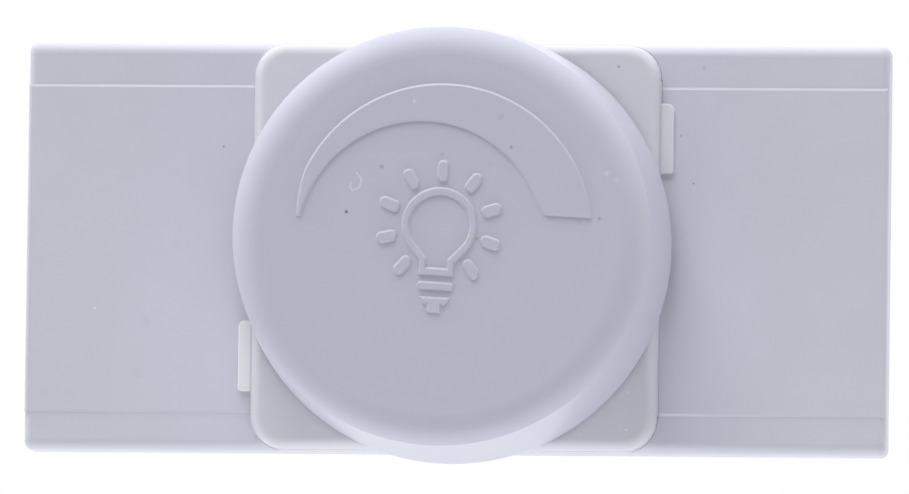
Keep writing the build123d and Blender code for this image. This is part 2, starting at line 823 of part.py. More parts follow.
# Rear housing: a box open at the front, with screw pillars, catches, vents and terminal holes
with BuildPart() as rear_housing:
    with BuildSketch(front(housing_rear)):
        RectangleRounded(housing_width, housing_height, housing_corner)
    extrude(amount=housing_length)
    fillet(rear_housing.faces().sort_by(Axis.Y)[-1].edges(), housing_corner / 2)
    with BuildSketch(front(housing_floor)):
        Rectangle(2 * inner_half_width, inner_height)
    extrude(amount=housing_length, mode=Mode.SUBTRACT)
    with BuildSketch(front(housing_floor)):
        with GridLocations(2 * screw_x, 2 * screw_z, 2, 2):
            Circle(pillar_radius)
    extrude(amount=board_rear - housing_floor)
    with BuildSketch(front(housing_rear)):
        with GridLocations(2 * screw_x, 2 * screw_z, 2, 2):
            Circle(screw_hole)
    extrude(amount=board_rear - housing_rear, mode=Mode.SUBTRACT)
    with BuildSketch(front(housing_rear)):
        with GridLocations(2 * screw_x, 2 * screw_z, 2, 2):
            Circle(screw_head_radius + screw_clearance)
    extrude(amount=head_recess, mode=Mode.SUBTRACT)
    with BuildSketch(front(housing_rear)):
        with Locations((wire_x, 0)):
            with GridLocations(0, 2 * pole_z, 1, 2):
                Circle(insulation_radius)
    extrude(amount=housing_wall, mode=Mode.SUBTRACT)
    with BuildSketch(across(inner_half_width)):
        with Locations((0, cage_level)):
            with GridLocations(2 * pole_z, 0, 2, 1):
                Circle(driver_radius)
    extrude(amount=housing_wall, mode=Mode.SUBTRACT)
    with BuildSketch(Plane.XY):
        with Locations((sink_x, -vent_level)):
            with GridLocations(vent_pitch, 0, vent_count, 1):
                SlotOverall(vent_length, vent_width, rotation=90)
    extrude(amount=housing_height, both=True, mode=Mode.SUBTRACT)
    for catch_left in (-catch_x - catch_width / 2, catch_x - catch_width / 2):
        for side in (1, -1):
            wall_z = side * (housing_height / 2 - seat_gap)
            crest_z = side * (housing_height / 2 + catch_reach)
            with BuildSketch(across(catch_left)):
                Polygon(
                    (wall_z, -frame_thickness),
                    (crest_z, -frame_thickness),
                    (crest_z, -frame_thickness - catch_land),
                    (wall_z, -frame_thickness - catch_land - catch_slope),
                    align=None,
                )
            extrude(amount=catch_width)
save(rear_housing.part, "rear_housing")

# Four long screws from the housing's rear into the dial base's bosses
with BuildPart() as housing_screws:
    with BuildSketch(front(screw_seat)):
        with GridLocations(2 * screw_x, 2 * screw_z, 2, 2):
            Circle(screw_head_radius)
    extrude(amount=-screw_head_height)
    with BuildSketch(front(screw_seat)):
        with GridLocations(2 * screw_x, 2 * screw_z, 2, 2):
            Circle(screw_radius)
    extrude(amount=board_front + screw_grip - screw_seat)
    tip_edges = housing_screws.edges().filter_by(GeomType.CIRCLE).group_by(Axis.Y)[0]
    chamfer(tip_edges, screw_tip, screw_radius - running_gap)
    with BuildSketch(front(screw_seat - screw_head_height)):
        with GridLocations(2 * screw_x, 2 * screw_z, 2, 2):
            Rectangle(cross_length, cross_width)
            Rectangle(cross_width, cross_length)
    extrude(amount=cross_depth, mode=Mode.SUBTRACT)
save(housing_screws.part, "housing_screws")

# Terminal block: two pockets open towards the board, with wire holes behind and screw chambers
with BuildPart() as terminal_block:
    with BuildSketch(front(terminal_rear)):
        with Locations(((terminal_left + terminal_right) / 2, 0)):
            Rectangle(terminal_right - terminal_left, terminal_height)
    extrude(amount=board_rear - terminal_rear)
    with BuildSketch(front(pocket_rear)):
        with Locations(((pocket_left + pocket_right) / 2, 0)):
            with GridLocations(0, 2 * pole_z, 1, 2):
                Rectangle(pocket_right - pocket_left, cage_width + 2 * seat_gap)
    extrude(amount=board_rear - pocket_rear, mode=Mode.SUBTRACT)
    with BuildSketch(front(terminal_rear)):
        with Locations((wire_x, 0)):
            with GridLocations(0, 2 * pole_z, 1, 2):
                Circle(conductor_radius)
    extrude(amount=pocket_rear - terminal_rear, mode=Mode.SUBTRACT)
    with BuildSketch(front(terminal_rear)):
        with Locations((wire_x, 0)):
            with GridLocations(0, 2 * pole_z, 1, 2):
                Circle(insulation_radius)
    extrude(amount=insulation_recess, mode=Mode.SUBTRACT)
    with BuildSketch(across(chamber_x)):
        with Locations((0, cage_level)):
            with GridLocations(2 * pole_z, 0, 2, 1):
                Circle(clamp_head_radius + seat_gap)
    extrude(amount=clamp_chamber, mode=Mode.SUBTRACT)
    with BuildSketch(across(pocket_right)):
        with Locations((0, cage_level)):
            with GridLocations(2 * pole_z, 0, 2, 1):
                Circle(clamp_radius + seat_gap)
    extrude(amount=clamp_seat, mode=Mode.SUBTRACT)
save(terminal_block.part, "terminal_block")

# Terminal bars: copper strips that stand on the board and reach into the cages
with BuildPart() as terminal_bars:
    with BuildSketch(front(board_rear)):
        with Locations(((bar_left + bar_right) / 2, 0)):
            with GridLocations(0, 2 * pole_z, 1, 2):
                Rectangle(bar_thickness, bar_width)
    extrude(amount=cage_level - cage_length / 2 - board_rear)
save(terminal_bars.part, "terminal_bars")

# Cages and their screws: each screw turns in place and draws its cage up to the bar
for pole, pole_place in (("line", pole_z), ("load", -pole_z)):
    with BuildPart() as terminal_cage:
        with BuildSketch(front(cage_level - cage_length / 2)):
            with Locations(((cage_outer + roof_outer) / 2, pole_place)):
                Rectangle(roof_outer - cage_outer, cage_width)
            with Locations(((cage_inner + roof_inner) / 2, pole_place)):
                Rectangle(roof_inner - cage_inner, cage_width - 2 * cage_side, mode=Mode.SUBTRACT)
        extrude(amount=cage_length)
        with BuildSketch(across(roof_inner)):
            with Locations((pole_place, cage_level)):
                Circle(clamp_radius + running_gap)
        extrude(amount=cage_roof, mode=Mode.SUBTRACT)
    save(terminal_cage.part, f"{pole}_terminal_cage")

    with BuildPart() as terminal_screw:
        with BuildSketch(across(bar_right + running_gap)):
            with Locations((pole_place, cage_level)):
                Circle(clamp_radius)
        extrude(amount=chamber_x - bar_right)
        with BuildSketch(across(chamber_x + running_gap)):
            with Locations((pole_place, cage_level)):
                Circle(clamp_head_radius)
        extrude(amount=clamp_head_height)
        with BuildSketch(across(chamber_x + running_gap + clamp_head_height)):
            with Locations((pole_place, cage_level)):
                Rectangle(2 * clamp_head_radius, clamp_slot_width)
        extrude(amount=-clamp_slot_depth, mode=Mode.SUBTRACT)
    save(terminal_screw.part, f"{pole}_terminal_screw")

# Choke: a ferrite ring inside a wound sleeve with a gap
with BuildPart() as choke_core:
    with BuildSketch(front(core_rear)):
        Circle(core_outer_radius)
        Circle(core_inner_radius, mode=Mode.SUBTRACT)
    extrude(amount=core_height)
save(choke_core.part, "choke_core")

with BuildPart() as choke_winding:
    ring_width = core_outer_radius - core_inner_radius
    sleeve_width = ring_width + 2 * winding_thickness
    sleeve_height = core_height + 2 * winding_thickness
    with BuildSketch(radial):
        with Locations(((core_outer_radius + core_inner_radius) / 2, (core_front + core_rear) / 2)):
            RectangleRounded(sleeve_width, sleeve_height, winding_edge_radius)
            Rectangle(ring_width + 2 * contact_gap, core_height + 2 * contact_gap, mode=Mode.SUBTRACT)
    revolve(axis=Axis.Y, revolution_arc=winding_arc)
save(choke_winding.part, "choke_winding")

# Heat sink: a plate behind the triac, folded up to the board along its outer edge
with BuildPart() as heat_sink:
    with BuildSketch(front(sink_rear)):
        with Locations((sink_x, 0)):
            Rectangle(sink_width, sink_height)
        with Locations((triac_x, rivet_z)):
            Circle(rivet_radius + running_gap, mode=Mode.SUBTRACT)
    extrude(amount=sink_thickness)
    with BuildSketch(front(sink_front)):
        with Locations((sink_left + sink_thickness / 2, 0)):
            Rectangle(sink_thickness, sink_height)
    extrude(amount=board_rear - sink_front)
save(heat_sink.part, "heat_sink")

with BuildPart() as triac_tab:
    with BuildSketch(front(sink_front)):
        with Locations((triac_x, 0)):
            Rectangle(triac_width, triac_length)
        with Locations((triac_x, rivet_z)):
            Circle(rivet_radius + running_gap, mode=Mode.SUBTRACT)
    extrude(amount=triac_tab_thickness)
save(triac_tab.part, "triac_tab")

with BuildPart() as triac_body:
    with BuildSketch(front(triac_tab_front)):
        with Locations((triac_x, triac_foot + triac_body_length / 2)):
            Rectangle(triac_width, triac_body_length)
    extrude(amount=triac_body_thickness)
save(triac_body.part, "triac_body")

# Triac leads: out of the body's foot, then up to the board
with BuildPart() as triac_leads:
    lead_level = triac_tab_front + triac_lead_setback
    with BuildSketch(front(lead_level)):
        with Locations((triac_x, triac_foot - triac_lead_reach / 2)):
            with GridLocations(triac_lead_pitch, 0, triac_lead_count, 1):
                Rectangle(triac_lead_width, triac_lead_reach)
    extrude(amount=triac_lead_thickness)
    with BuildSketch(front(lead_level)):
        with Locations((triac_x, triac_foot - triac_lead_reach + triac_lead_thickness / 2)):
            with GridLocations(triac_lead_pitch, 0, triac_lead_count, 1):
                Rectangle(triac_lead_width, triac_lead_thickness)
    extrude(amount=board_rear - lead_level)
save(triac_leads.part, "triac_leads")

with BuildPart() as triac_rivet:
    with BuildSketch(front(triac_tab_front)):
        with Locations((triac_x, rivet_z)):
            Circle(rivet_head_radius)
    extrude(amount=rivet_head_height)
    with BuildSketch(front(sink_rear)):
        with Locations((triac_x, rivet_z)):
            Circle(rivet_radius)
    extrude(amount=triac_tab_front - sink_rear)
    with BuildSketch(front(sink_rear)):
        with Locations((triac_x, rivet_z)):
            Circle(rivet_tail_radius)
    extrude(amount=-rivet_tail_height)
save(triac_rivet.part, "triac_rivet")

# Fuse along Z: glass tube, wire, two end caps and two clips on the board
fuse_y = -(board_front + fuse_lift)
with BuildPart() as fuse_tube:
    with BuildSketch(Plane.XY):
        with Locations((fuse_x, fuse_y)):
            Circle(fuse_glass_radius)
            Circle(fuse_glass_radius - fuse_glass_wall, mode=Mode.SUBTRACT)
    extrude(amount=fuse_length / 2 - fuse_cap_wall, both=True)
save(fuse_tube.part, "fuse_tube")

with BuildPart() as fuse_wire:
    with BuildSketch(Plane.XY):
        with Locations((fuse_x, fuse_y)):
            Circle(fuse_wire_radius)
    extrude(amount=fuse_length / 2 - fuse_cap_wall, both=True)
save(fuse_wire.part, "fuse_wire")

with BuildPart() as fuse_caps:
    for end in (1, -1):
        with BuildSketch(Plane.XY.offset(end * (fuse_length / 2 - fuse_cap_length))):
            with Locations((fuse_x, fuse_y)):
                Circle(fuse_cap_radius)
        extrude(amount=end * fuse_cap_length)
        with BuildSketch(Plane.XY.offset(end * (fuse_length / 2 - fuse_cap_length))):
            with Locations((fuse_x, fuse_y)):
                Circle(fuse_glass_radius + contact_gap)
        extrude(amount=end * (fuse_cap_length - fuse_cap_wall), mode=Mode.SUBTRACT)
save(fuse_caps.part, "fuse_caps")

with BuildPart() as fuse_clips:
    clip_half = fuse_cap_radius + contact_gap
    for end in (1, -1):
        with BuildSketch(Plane.XY.offset(end * (fuse_length - fuse_cap_length) / 2)):
            with Locations((fuse_x, -board_front - clip_height / 2)):
                Rectangle(2 * (clip_half + clip_thickness), clip_height)
            with Locations((fuse_x, -board_front - clip_thickness - clip_height / 2)):
                Rectangle(2 * clip_half, clip_height, mode=Mode.SUBTRACT)
        extrude(amount=clip_width / 2, both=True)
save(fuse_clips.part, "fuse_clips")


def axial_part(spot, radius, length, wire):
    """A round body on a wire whose ends turn down to the board, lying along Z at spot (x, z)."""
    x, z = spot
    lead_level = board_front + lead_lift
    with BuildPart() as axial:
        with BuildLine(across(x)) as lead:
            FilletPolyline(
                (z - lead_span / 2, board_front),
                (z - lead_span / 2, lead_level),
                (z + lead_span / 2, lead_level),
                (z + lead_span / 2, board_front),
                radius=lead_bend,
            )
        with BuildSketch(Plane(origin=lead.line @ 0, z_dir=lead.line % 0)):
            Circle(wire)
        sweep()
        with BuildSketch(Plane.XY.offset(z - length / 2)):
            with Locations((x, -lead_level)):
                Circle(radius)
        extrude(amount=length)
    return axial.part


three_resistors = [
    axial_part(spot, resistor_radius, resistor_length, resistor_wire) for spot in resistor_spots
]
save(Compound(children=three_resistors), "resistors")
save(axial_part(diac_spot, diac_radius, diac_length, diac_wire), "diac")

with BuildPart() as film_capacitor:
    with BuildSketch(front(board_front)):
        with Locations(film_spot):
            Rectangle(film_width, film_length)
    extrude(amount=film_height)
    film_edges = film_capacitor.edges() - film_capacitor.faces().sort_by(Axis.Y)[-1].edges()
    fillet(film_edges, capacitor_edge_radius)
save(film_capacitor.part, "film_capacitor")

with BuildPart() as timing_capacitors:
    with BuildSketch(front(board_front)):
        with Locations(timing_spots):
            Rectangle(timing_width, timing_length)
    extrude(amount=timing_height)
    board_faces = timing_capacitors.faces().filter_by(Axis.Y).group_by(Axis.Y)[-1]
    timing_edges = timing_capacitors.edges() - board_faces.edges()
    fillet(timing_edges, capacitor_edge_radius)
save(timing_capacitors.part, "timing_capacitors")
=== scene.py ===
import json
import math

import bpy
from mathutils import Matrix, Vector

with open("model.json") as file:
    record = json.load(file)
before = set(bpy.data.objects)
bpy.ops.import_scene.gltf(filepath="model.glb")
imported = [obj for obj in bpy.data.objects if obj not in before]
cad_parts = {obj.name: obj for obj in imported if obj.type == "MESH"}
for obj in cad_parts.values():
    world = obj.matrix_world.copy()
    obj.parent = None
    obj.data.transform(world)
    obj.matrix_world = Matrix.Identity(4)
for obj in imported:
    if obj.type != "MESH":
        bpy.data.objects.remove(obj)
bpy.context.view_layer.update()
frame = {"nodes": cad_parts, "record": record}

nodes = frame["nodes"]
record = frame["record"]

METRES_PER_MM = 0.001
MM_PER_METRE = 1000.0

# Camera: a long lens, a little below and to the right of the knob's axis.
# Right and below are for each metre in front, and the roll is in radians.
CAMERA_DISTANCE = 1.2
CAMERA_RIGHT = 0.0938
CAMERA_BELOW = 0.0732
CAMERA_ROLL = 0.0134
CAMERA_TARGET = Vector((-0.00027, -0.002, 0.00017))
CAMERA_LENS = 608.05
SENSOR_WIDTH = 36.0
CAMERA_NEAR = 0.1
CAMERA_FAR = 10.0

# Surroundings: a ring of light round the object's sides, dark in front and dimmer behind.
# Each stop is a direction's Y, from -1 in front to 1 behind, and its brightness.
RING = ((-1.0, 0.0), (-0.3, 0.0), (0.0, 3.0), (0.2, 1.0), (1.0, 1.0))
RING_PEAK = 3.0
RING_TINT = (0.97, 0.98, 1.0)

# Broad glows in the sky: where each lies, its brightness, how narrow it is and its tint
GLOWS = (
    ((0.0, -0.45, 0.89), 0.8, 8.0, (1.0, 0.995, 0.98)),
    ((-1.0, -0.3, 0.05), 1.15, 8.0, (1.0, 0.995, 0.98)),
    ((1.0, -0.3, 0.0), 0.45, 8.0, (0.98, 0.99, 1.0)),
)

# Soft lamps: name, place, width, depth, power and tint
LAMPS = (
    ("upper_lamp", (-0.09, -0.19, 0.45), 0.3, 0.2, 1.8, (1.0, 0.99, 0.975)),
    ("low_card", (-0.01, -0.03, -0.12), 0.3, 0.08, 0.105, (1.0, 1.0, 1.0)),
)

# Floor: its height, half its side, its tint, and how pale it is where it is looked at
# and where it only passes light on to the object
FLOOR_LEVEL = -0.14
FLOOR_HALF = 1.5
FLOOR_TINT = (0.985, 0.99, 1.0)
FLOOR_ROUGHNESS = 0.9
FLOOR_SEEN = 0.84
FLOOR_LIT = 0.5

# Finish colours of what the photograph shows, all linear
WHITE_PLASTIC = (0.60, 0.60, 0.69)
KNOB_PLASTIC = (0.53, 0.54, 0.64)
BASE_PLASTIC = (0.65, 0.65, 0.715)

# Second colours of finishes inside the module
LAMINATE_THREAD = (0.27, 0.18, 0.08)
GREEN_THREAD = (0.08, 0.28, 0.13)
RESISTOR_BAND = (0.2, 0.06, 0.03)

# Small marks: x, level in front of the rim and z in millimetres, radius, colour, share
DARK = (0.06, 0.055, 0.06)
GREY = (0.33, 0.33, 0.36)
PALE = (0.86, 0.87, 0.9)
OLIVE = (0.30, 0.31, 0.12)
PLATE_MARKS = (
    (-18.35, 3.6, 7.81, 0.09, DARK, 0.6),
    (17.50, 3.6, 8.86, 0.08, DARK, 0.45),
    (18.53, 3.6, 5.13, 0.08, DARK, 0.5),
    (16.74, 3.5, -12.54, 0.09, DARK, 0.5),
    (19.24, 3.5, 14.18, 0.16, OLIVE, 0.3),
    (-28.29, 3.6, -4.92, 0.1, PALE, 0.6),
    (-21.84, 3.6, 0.07, 0.45, GREY, 0.07),
    (-24.35, 3.6, -5.98, 0.45, GREY, 0.07),
    (-24.92, 3.6, -9.98, 0.45, GREY, 0.07),
)
BASE_MARKS = (
    (12.67, 4.8, 14.14, 0.1, DARK, 0.55),
    (13.71, 4.8, -11.30, 0.08, PALE, 0.6),
    (13.59, 4.8, -14.23, 0.1, PALE, 0.7),
)

# Painted light on each thin tab, made paler to stand in for how brightly it is lit: from where to
# where across, and how much paler
PAINTED_TAB_LIGHT = ((-16.0, -16.05, 0.8), (16.0, 16.05, 0.3))

# Levels of the knob's face and of the top of its relief
KNOB_FACE = 17.2
KNOB_RELIEF = 17.4
KNOB_MARKS = (
    (-4.57, KNOB_FACE, 5.24, 0.17, OLIVE, 0.55),
    (-7.27, KNOB_FACE, 1.73, 0.13, DARK, 0.75),
    (4.62, KNOB_RELIEF, 9.15, 0.26, GREY, 0.25),
    (5.47, KNOB_RELIEF, 6.78, 0.13, DARK, 0.4),
    (3.83, KNOB_FACE, 5.48, 0.28, GREY, 0.12),
    (0.09, KNOB_FACE, 6.23, 0.16, (0.35, 0.22, 0.2), 0.25),
    (-2.09, KNOB_RELIEF, 10.34, 0.15, PALE, 0.35),
    (12.34, KNOB_FACE, 1.33, 0.13, DARK, 0.4),
    (10.75, KNOB_FACE, 1.10, 0.2, GREY, 0.2),
    (12.87, KNOB_FACE, 4.83, 0.22, PALE, 0.22),
    (13.68, KNOB_FACE, 4.32, 0.2, PALE, 0.2),
    (-9.36, KNOB_FACE, 13.80, 0.12, PALE, 0.6),
    (2.87, KNOB_FACE, -0.29, 0.16, OLIVE, 0.5),
    (1.20, KNOB_FACE, -3.99, 0.15, OLIVE, 0.25),
)

# One short piece of lint: x and z of its bends
LINT = (
    (-6.54, 4.82),
    (-6.14, 4.27),
    (-6.27, 3.65),
    (-6.83, 3.37),
    (-7.01, 3.71),
    (-6.91, 3.99),
)
LINT_LEVEL = KNOB_FACE
LINT_RADIUS = 0.06
LINT_SHARE = 0.4

# Lowest roughness of bare metal, above which reflections stay soft and even
METAL_GLOSS = 0.285

# How far a moulded surface's roughness strays to either side
MOULDED_STRAY = 0.03

# Length round the ring of wire, and waves of colour along a banded part for each millimetre
WOUND_ROUND = 22.0
BAND_WAVE = 4.2


def make_camera():
    """Places the camera at the photograph's viewing angle."""
    data = bpy.data.cameras.new("camera")
    data.lens = CAMERA_LENS
    data.sensor_width = SENSOR_WIDTH
    data.clip_start = CAMERA_NEAR
    data.clip_end = CAMERA_FAR
    camera = bpy.data.objects.new("camera", data)
    bpy.context.scene.collection.objects.link(camera)
    back = Vector((CAMERA_RIGHT, -1.0, -CAMERA_BELOW)).normalized()
    right = Vector((0.0, 0.0, 1.0)).cross(back).normalized()
    up = back.cross(right)
    turned_right = math.cos(CAMERA_ROLL) * right + math.sin(CAMERA_ROLL) * up
    turned_up = math.cos(CAMERA_ROLL) * up - math.sin(CAMERA_ROLL) * right
    place = CAMERA_TARGET + CAMERA_DISTANCE * back
    camera.matrix_world = Matrix(
        (
            (turned_right.x, turned_up.x, back.x, place.x),
            (turned_right.y, turned_up.y, back.y, place.y),
            (turned_right.z, turned_up.z, back.z, place.z),
            (0.0, 0.0, 0.0, 1.0),
        )
    )
    bpy.context.scene.camera = camera


class Tree:
    """Short ways to add nodes to one material or world."""

    def __init__(self, owner):
        owner.use_nodes = True
        self.tree = owner.node_tree

    def node(self, kind, **values):
        made = self.tree.nodes.new(kind)
        for key, value in values.items():
            setattr(made, key, value)
        return made

    def set(self, socket, value):
        """Puts a number, a colour or another node's output into a socket."""
        if isinstance(value, bpy.types.NodeSocket):
            self.tree.links.new(value, socket)
        elif isinstance(value, tuple) and len(value) == 3 and len(socket.default_value) == 4:
            socket.default_value = (*value, 1.0)
        else:
            socket.default_value = value

    def math(self, operation, first, second=0.0, third=0.0, clamp=False):
        made = self.node("ShaderNodeMath", operation=operation, use_clamp=clamp)
        for socket, value in zip(made.inputs, (first, second, third)):
            self.set(socket, value)
        return made.outputs[0]

    def vector(self, operation, first, second=(0.0, 0.0, 0.0), output="Vector"):
        made = self.node("ShaderNodeVectorMath", operation=operation)
        self.set(made.inputs[0], first)
        self.set(made.inputs[1], second)
        return made.outputs[output]

    def scale(self, vector, factor):
        made = self.node("ShaderNodeVectorMath", operation="SCALE")
        self.set(made.inputs[0], vector)
        self.set(made.inputs["Scale"], factor)
        return made.outputs[0]

    def split(self, vector):
        made = self.node("ShaderNodeSeparateXYZ")
        self.set(made.inputs[0], vector)
        return made.outputs

    def looked_at(self):
        """One for rays from the camera, a glossy surface or glass, and nought for soft light."""
        path = self.node("ShaderNodeLightPath")
        seen = self.math("ADD", path.outputs["Is Camera Ray"], path.outputs["Is Glossy Ray"])
        return self.math("ADD", seen, path.outputs["Is Transmission Ray"], clamp=True)

    def place(self):
        """The point in the part's own frame, in millimetres."""
        coords = self.node("ShaderNodeTexCoord")
        return self.scale(coords.outputs["Object"], MM_PER_METRE)

    def noise(self, point, scale, detail=2.0, roughness=0.5, distortion=0.0):
        made = self.node("ShaderNodeTexNoise")
        self.set(made.inputs["Vector"], point)
        made.inputs["Scale"].default_value = scale
        made.inputs["Detail"].default_value = detail
        made.inputs["Roughness"].default_value = roughness
        made.inputs["Distortion"].default_value = distortion
        return made.outputs["Fac"]

    def cells(self, point, scale):
        made = self.node("ShaderNodeTexVoronoi")
        self.set(made.inputs["Vector"], point)
        made.inputs["Scale"].default_value = scale
        return made.outputs["Distance"]

    def span(self, value, low, high, to_low=0.0, to_high=1.0, smooth=False):
        """Maps a number from one range to another, clamped."""
        made = self.node("ShaderNodeMapRange", clamp=True)
        made.interpolation_type = "SMOOTHSTEP" if smooth else "LINEAR"
        for socket, number in zip(made.inputs, (value, low, high, to_low, to_high)):
            self.set(socket, number)
        return made.outputs["Result"]

    def mix(self, share, first, second, kind="MIX"):
        made = self.node("ShaderNodeMix", data_type="RGBA", blend_type=kind)
        self.set(made.inputs[0], share)
        self.set(made.inputs[6], first)
        self.set(made.inputs[7], second)
        return made.outputs[2]

    def shades(self, value, low, high, colour, spread):
        """The colour, a little darker where the value is low and lighter where it is high."""
        darker = tuple(c * (1.0 - spread) for c in colour)
        lighter = tuple(min(1.0, c * (1.0 + spread)) for c in colour)
        return self.mix(self.span(value, low, high), darker, lighter)

    def bump(self, height, distance, strength=1.0):
        """A bump whose distance is in millimetres."""
        made = self.node("ShaderNodeBump")
        made.inputs["Strength"].default_value = strength
        made.inputs["Distance"].default_value = distance * METRES_PER_MM
        self.set(made.inputs["Height"], height)
        return made.outputs["Normal"]

    def spots(self, point, colour, marks):
        """Lays small round soft-edged marks over a colour."""
        for x, level, z, radius, mark, share in marks:
            distance = self.vector("DISTANCE", point, (x, -level, z), "Value")
            cover = self.span(distance, 0.5 * radius, 1.3 * radius, share, 0.0, smooth=True)
            colour = self.mix(cover, colour, mark)
        return colour

    def thread(self, point, colour, path, level, radius, mark, share):
        """Lays a thin soft line through points on one level over a colour."""
        nearest = None
        for (x, z), (next_x, next_z) in zip(path, path[1:]):
            start = (x, -level, z)
            run = (next_x - x, 0.0, next_z - z)
            square = run[0] ** 2 + run[2] ** 2
            offset = self.vector("SUBTRACT", point, start)
            along = self.vector("DOT_PRODUCT", offset, tuple(v / square for v in run), "Value")
            along = self.math("ADD", along, 0.0, clamp=True)
            foot = self.scale(run, along)
            distance = self.vector("DISTANCE", offset, foot, "Value")
            nearest = distance if nearest is None else self.math("MINIMUM", nearest, distance)
        cover = self.span(nearest, 0.4 * radius, 1.6 * radius, share, 0.0, smooth=True)
        return self.mix(cover, colour, mark)


def make_world():
    """Soft light from all round, dim in front, and plain white where it is looked at."""
    world = bpy.data.worlds.new("world")
    bpy.context.scene.world = world
    t = Tree(world)
    t.tree.nodes.clear()
    output = t.node("ShaderNodeOutputWorld")
    way = t.node("ShaderNodeTexCoord").outputs["Generated"]
    ramp = t.node("ShaderNodeValToRGB")
    stops = ramp.color_ramp.elements
    for number, (where, level) in enumerate(RING):
        stop = stops[number] if number < 2 else stops.new(0.5 + 0.5 * where)
        stop.position = 0.5 + 0.5 * where
        stop.color = (level / RING_PEAK, level / RING_PEAK, level / RING_PEAK, 1.0)
    t.set(ramp.inputs["Fac"], t.math("MULTIPLY_ADD", t.split(way)[1], 0.5, 0.5))
    light = t.scale(t.vector("MULTIPLY", ramp.outputs["Color"], RING_TINT), RING_PEAK)
    for towards, level, sharpness, tint in GLOWS:
        facing = t.vector("DOT_PRODUCT", way, tuple(Vector(towards).normalized()), "Value")
        glow = t.math("POWER", t.math("MAXIMUM", facing, 0.0), sharpness)
        light = t.vector("ADD", light, t.scale(tuple(level * c for c in tint), glow))
    sky = t.node("ShaderNodeBackground")
    t.set(sky.inputs["Color"], light)
    sky.inputs["Strength"].default_value = 1.0
    white = t.node("ShaderNodeBackground")
    t.set(white.inputs["Color"], (1.0, 1.0, 1.0))
    white.inputs["Strength"].default_value = 1.0
    mix = t.node("ShaderNodeMixShader")
    t.set(mix.inputs["Fac"], t.looked_at())
    t.set(mix.inputs[1], sky.outputs[0])
    t.set(mix.inputs[2], white.outputs[0])
    t.set(output.inputs["Surface"], mix.outputs[0])


def make_floor():
    """A plain pale floor, below the camera's view of the photograph."""
    mesh = bpy.data.meshes.new("floor")
    half = FLOOR_HALF
    corners = [(-half, -half, 0.0), (half, -half, 0.0), (half, half, 0.0), (-half, half, 0.0)]
    mesh.from_pydata(corners, [], [(0, 1, 2, 3)])
    floor = bpy.data.objects.new("floor", mesh)
    floor.location = (0.0, 0.0, FLOOR_LEVEL)
    bpy.context.scene.collection.objects.link(floor)
    material = bpy.data.materials.new("floor")
    t = Tree(material)
    shader = t.tree.nodes["Principled BSDF"]
    level = t.math("MULTIPLY_ADD", t.looked_at(), FLOOR_SEEN - FLOOR_LIT, FLOOR_LIT)
    soft = t.span(t.noise(t.place(), 0.02, 2.0), 0.0, 1.0, 0.98, 1.02)
    t.set(shader.inputs["Base Color"], t.scale(FLOOR_TINT, t.math("MULTIPLY", level, soft)))
    shader.inputs["Roughness"].default_value = FLOOR_ROUGHNESS
    mesh.materials.append(material)


def make_lamps():
    """Soft lamps that face the object, unseen by the camera and in reflections."""
    for name, place, width, depth, power, tint in LAMPS:
        data = bpy.data.lights.new(name, "AREA")
        data.shape = "RECTANGLE"
        data.size = width
        data.size_y = depth
        data.energy = power
        data.color = tint
        lamp = bpy.data.objects.new(name, data)
        lamp.location = place
        lamp.rotation_mode = "QUATERNION"
        lamp.rotation_quaternion = Vector(place).to_track_quat("Z", "Y")
        lamp.visible_camera = False
        lamp.visible_glossy = False
        bpy.context.scene.collection.objects.link(lamp)


def new_finish(name, roughness, ior=1.48, metallic=0.0):
    """Starts a material and gives its tree, its shader and the point in millimetres."""
    material = bpy.data.materials.new(name)
    t = Tree(material)
    shader = t.tree.nodes["Principled BSDF"]
    shader.inputs["Roughness"].default_value = roughness
    shader.inputs["IOR"].default_value = ior
    shader.inputs["Metallic"].default_value = metallic
    return material, t, shader, t.place()


def moulded(name, colour, roughness=0.36, mottle=0.008, grain=0.006, marks=(), lint=(), painted_tab_light=()):
    """Moulded plastic: faint clouding, a very fine grain and slightly uneven gloss."""
    material, t, shader, point = new_finish(name, roughness)
    cloud = t.noise(point, 0.22, 3.0, 0.55)
    fine = t.noise(point, 6.0, 2.0, 0.6)
    peel = t.noise(point, 0.7, 1.0, 0.5)
    base = t.shades(cloud, 0.35, 0.65, colour, mottle)
    base = t.mix(1.0, base, t.span(fine, 0.3, 0.7, 1.0 - grain, 1.0 + grain), "MULTIPLY")
    # Painted light: each thin tab turns paler across x, standing in for its lit brightness
    for start, end, share in painted_tab_light:
        base = t.mix(t.span(t.split(point)[0], start, end, 0.0, share), base, PALE)
    base = t.spots(point, base, marks)
    if lint:
        base = t.thread(point, base, lint, LINT_LEVEL, LINT_RADIUS, PALE, LINT_SHARE)
    t.set(shader.inputs["Base Color"], base)
    gloss = t.span(cloud, 0.3, 0.7, roughness - MOULDED_STRAY, roughness + MOULDED_STRAY)
    t.set(shader.inputs["Roughness"], gloss)
    t.set(shader.inputs["Normal"], t.bump(peel, 0.002))
    return material


def eroded(name, colour, roughness=0.55):
    """Plastic from a spark-eroded mould: a fine pebbled surface with faint flow marks."""
    material, t, shader, point = new_finish(name, roughness)
    pebble = t.cells(point, 6.0)
    fine = t.noise(point, 12.0, 3.0, 0.6)
    flow = t.noise(t.vector("MULTIPLY", point, (0.06, 0.3, 0.18)), 1.0, 3.0, 0.5, 0.6)
    base = t.shades(flow, 0.35, 0.65, colour, 0.02)
    base = t.mix(1.0, base, t.span(pebble, 0.1, 0.7, 1.02, 0.97), "MULTIPLY")
    t.set(shader.inputs["Base Color"], base)
    t.set(shader.inputs["Roughness"], t.span(fine, 0.3, 0.7, roughness - 0.06, roughness + 0.06))
    height = t.math("MULTIPLY_ADD", fine, 0.4, pebble)
    t.set(shader.inputs["Normal"], t.bump(height, 0.02, 0.6))
    return material


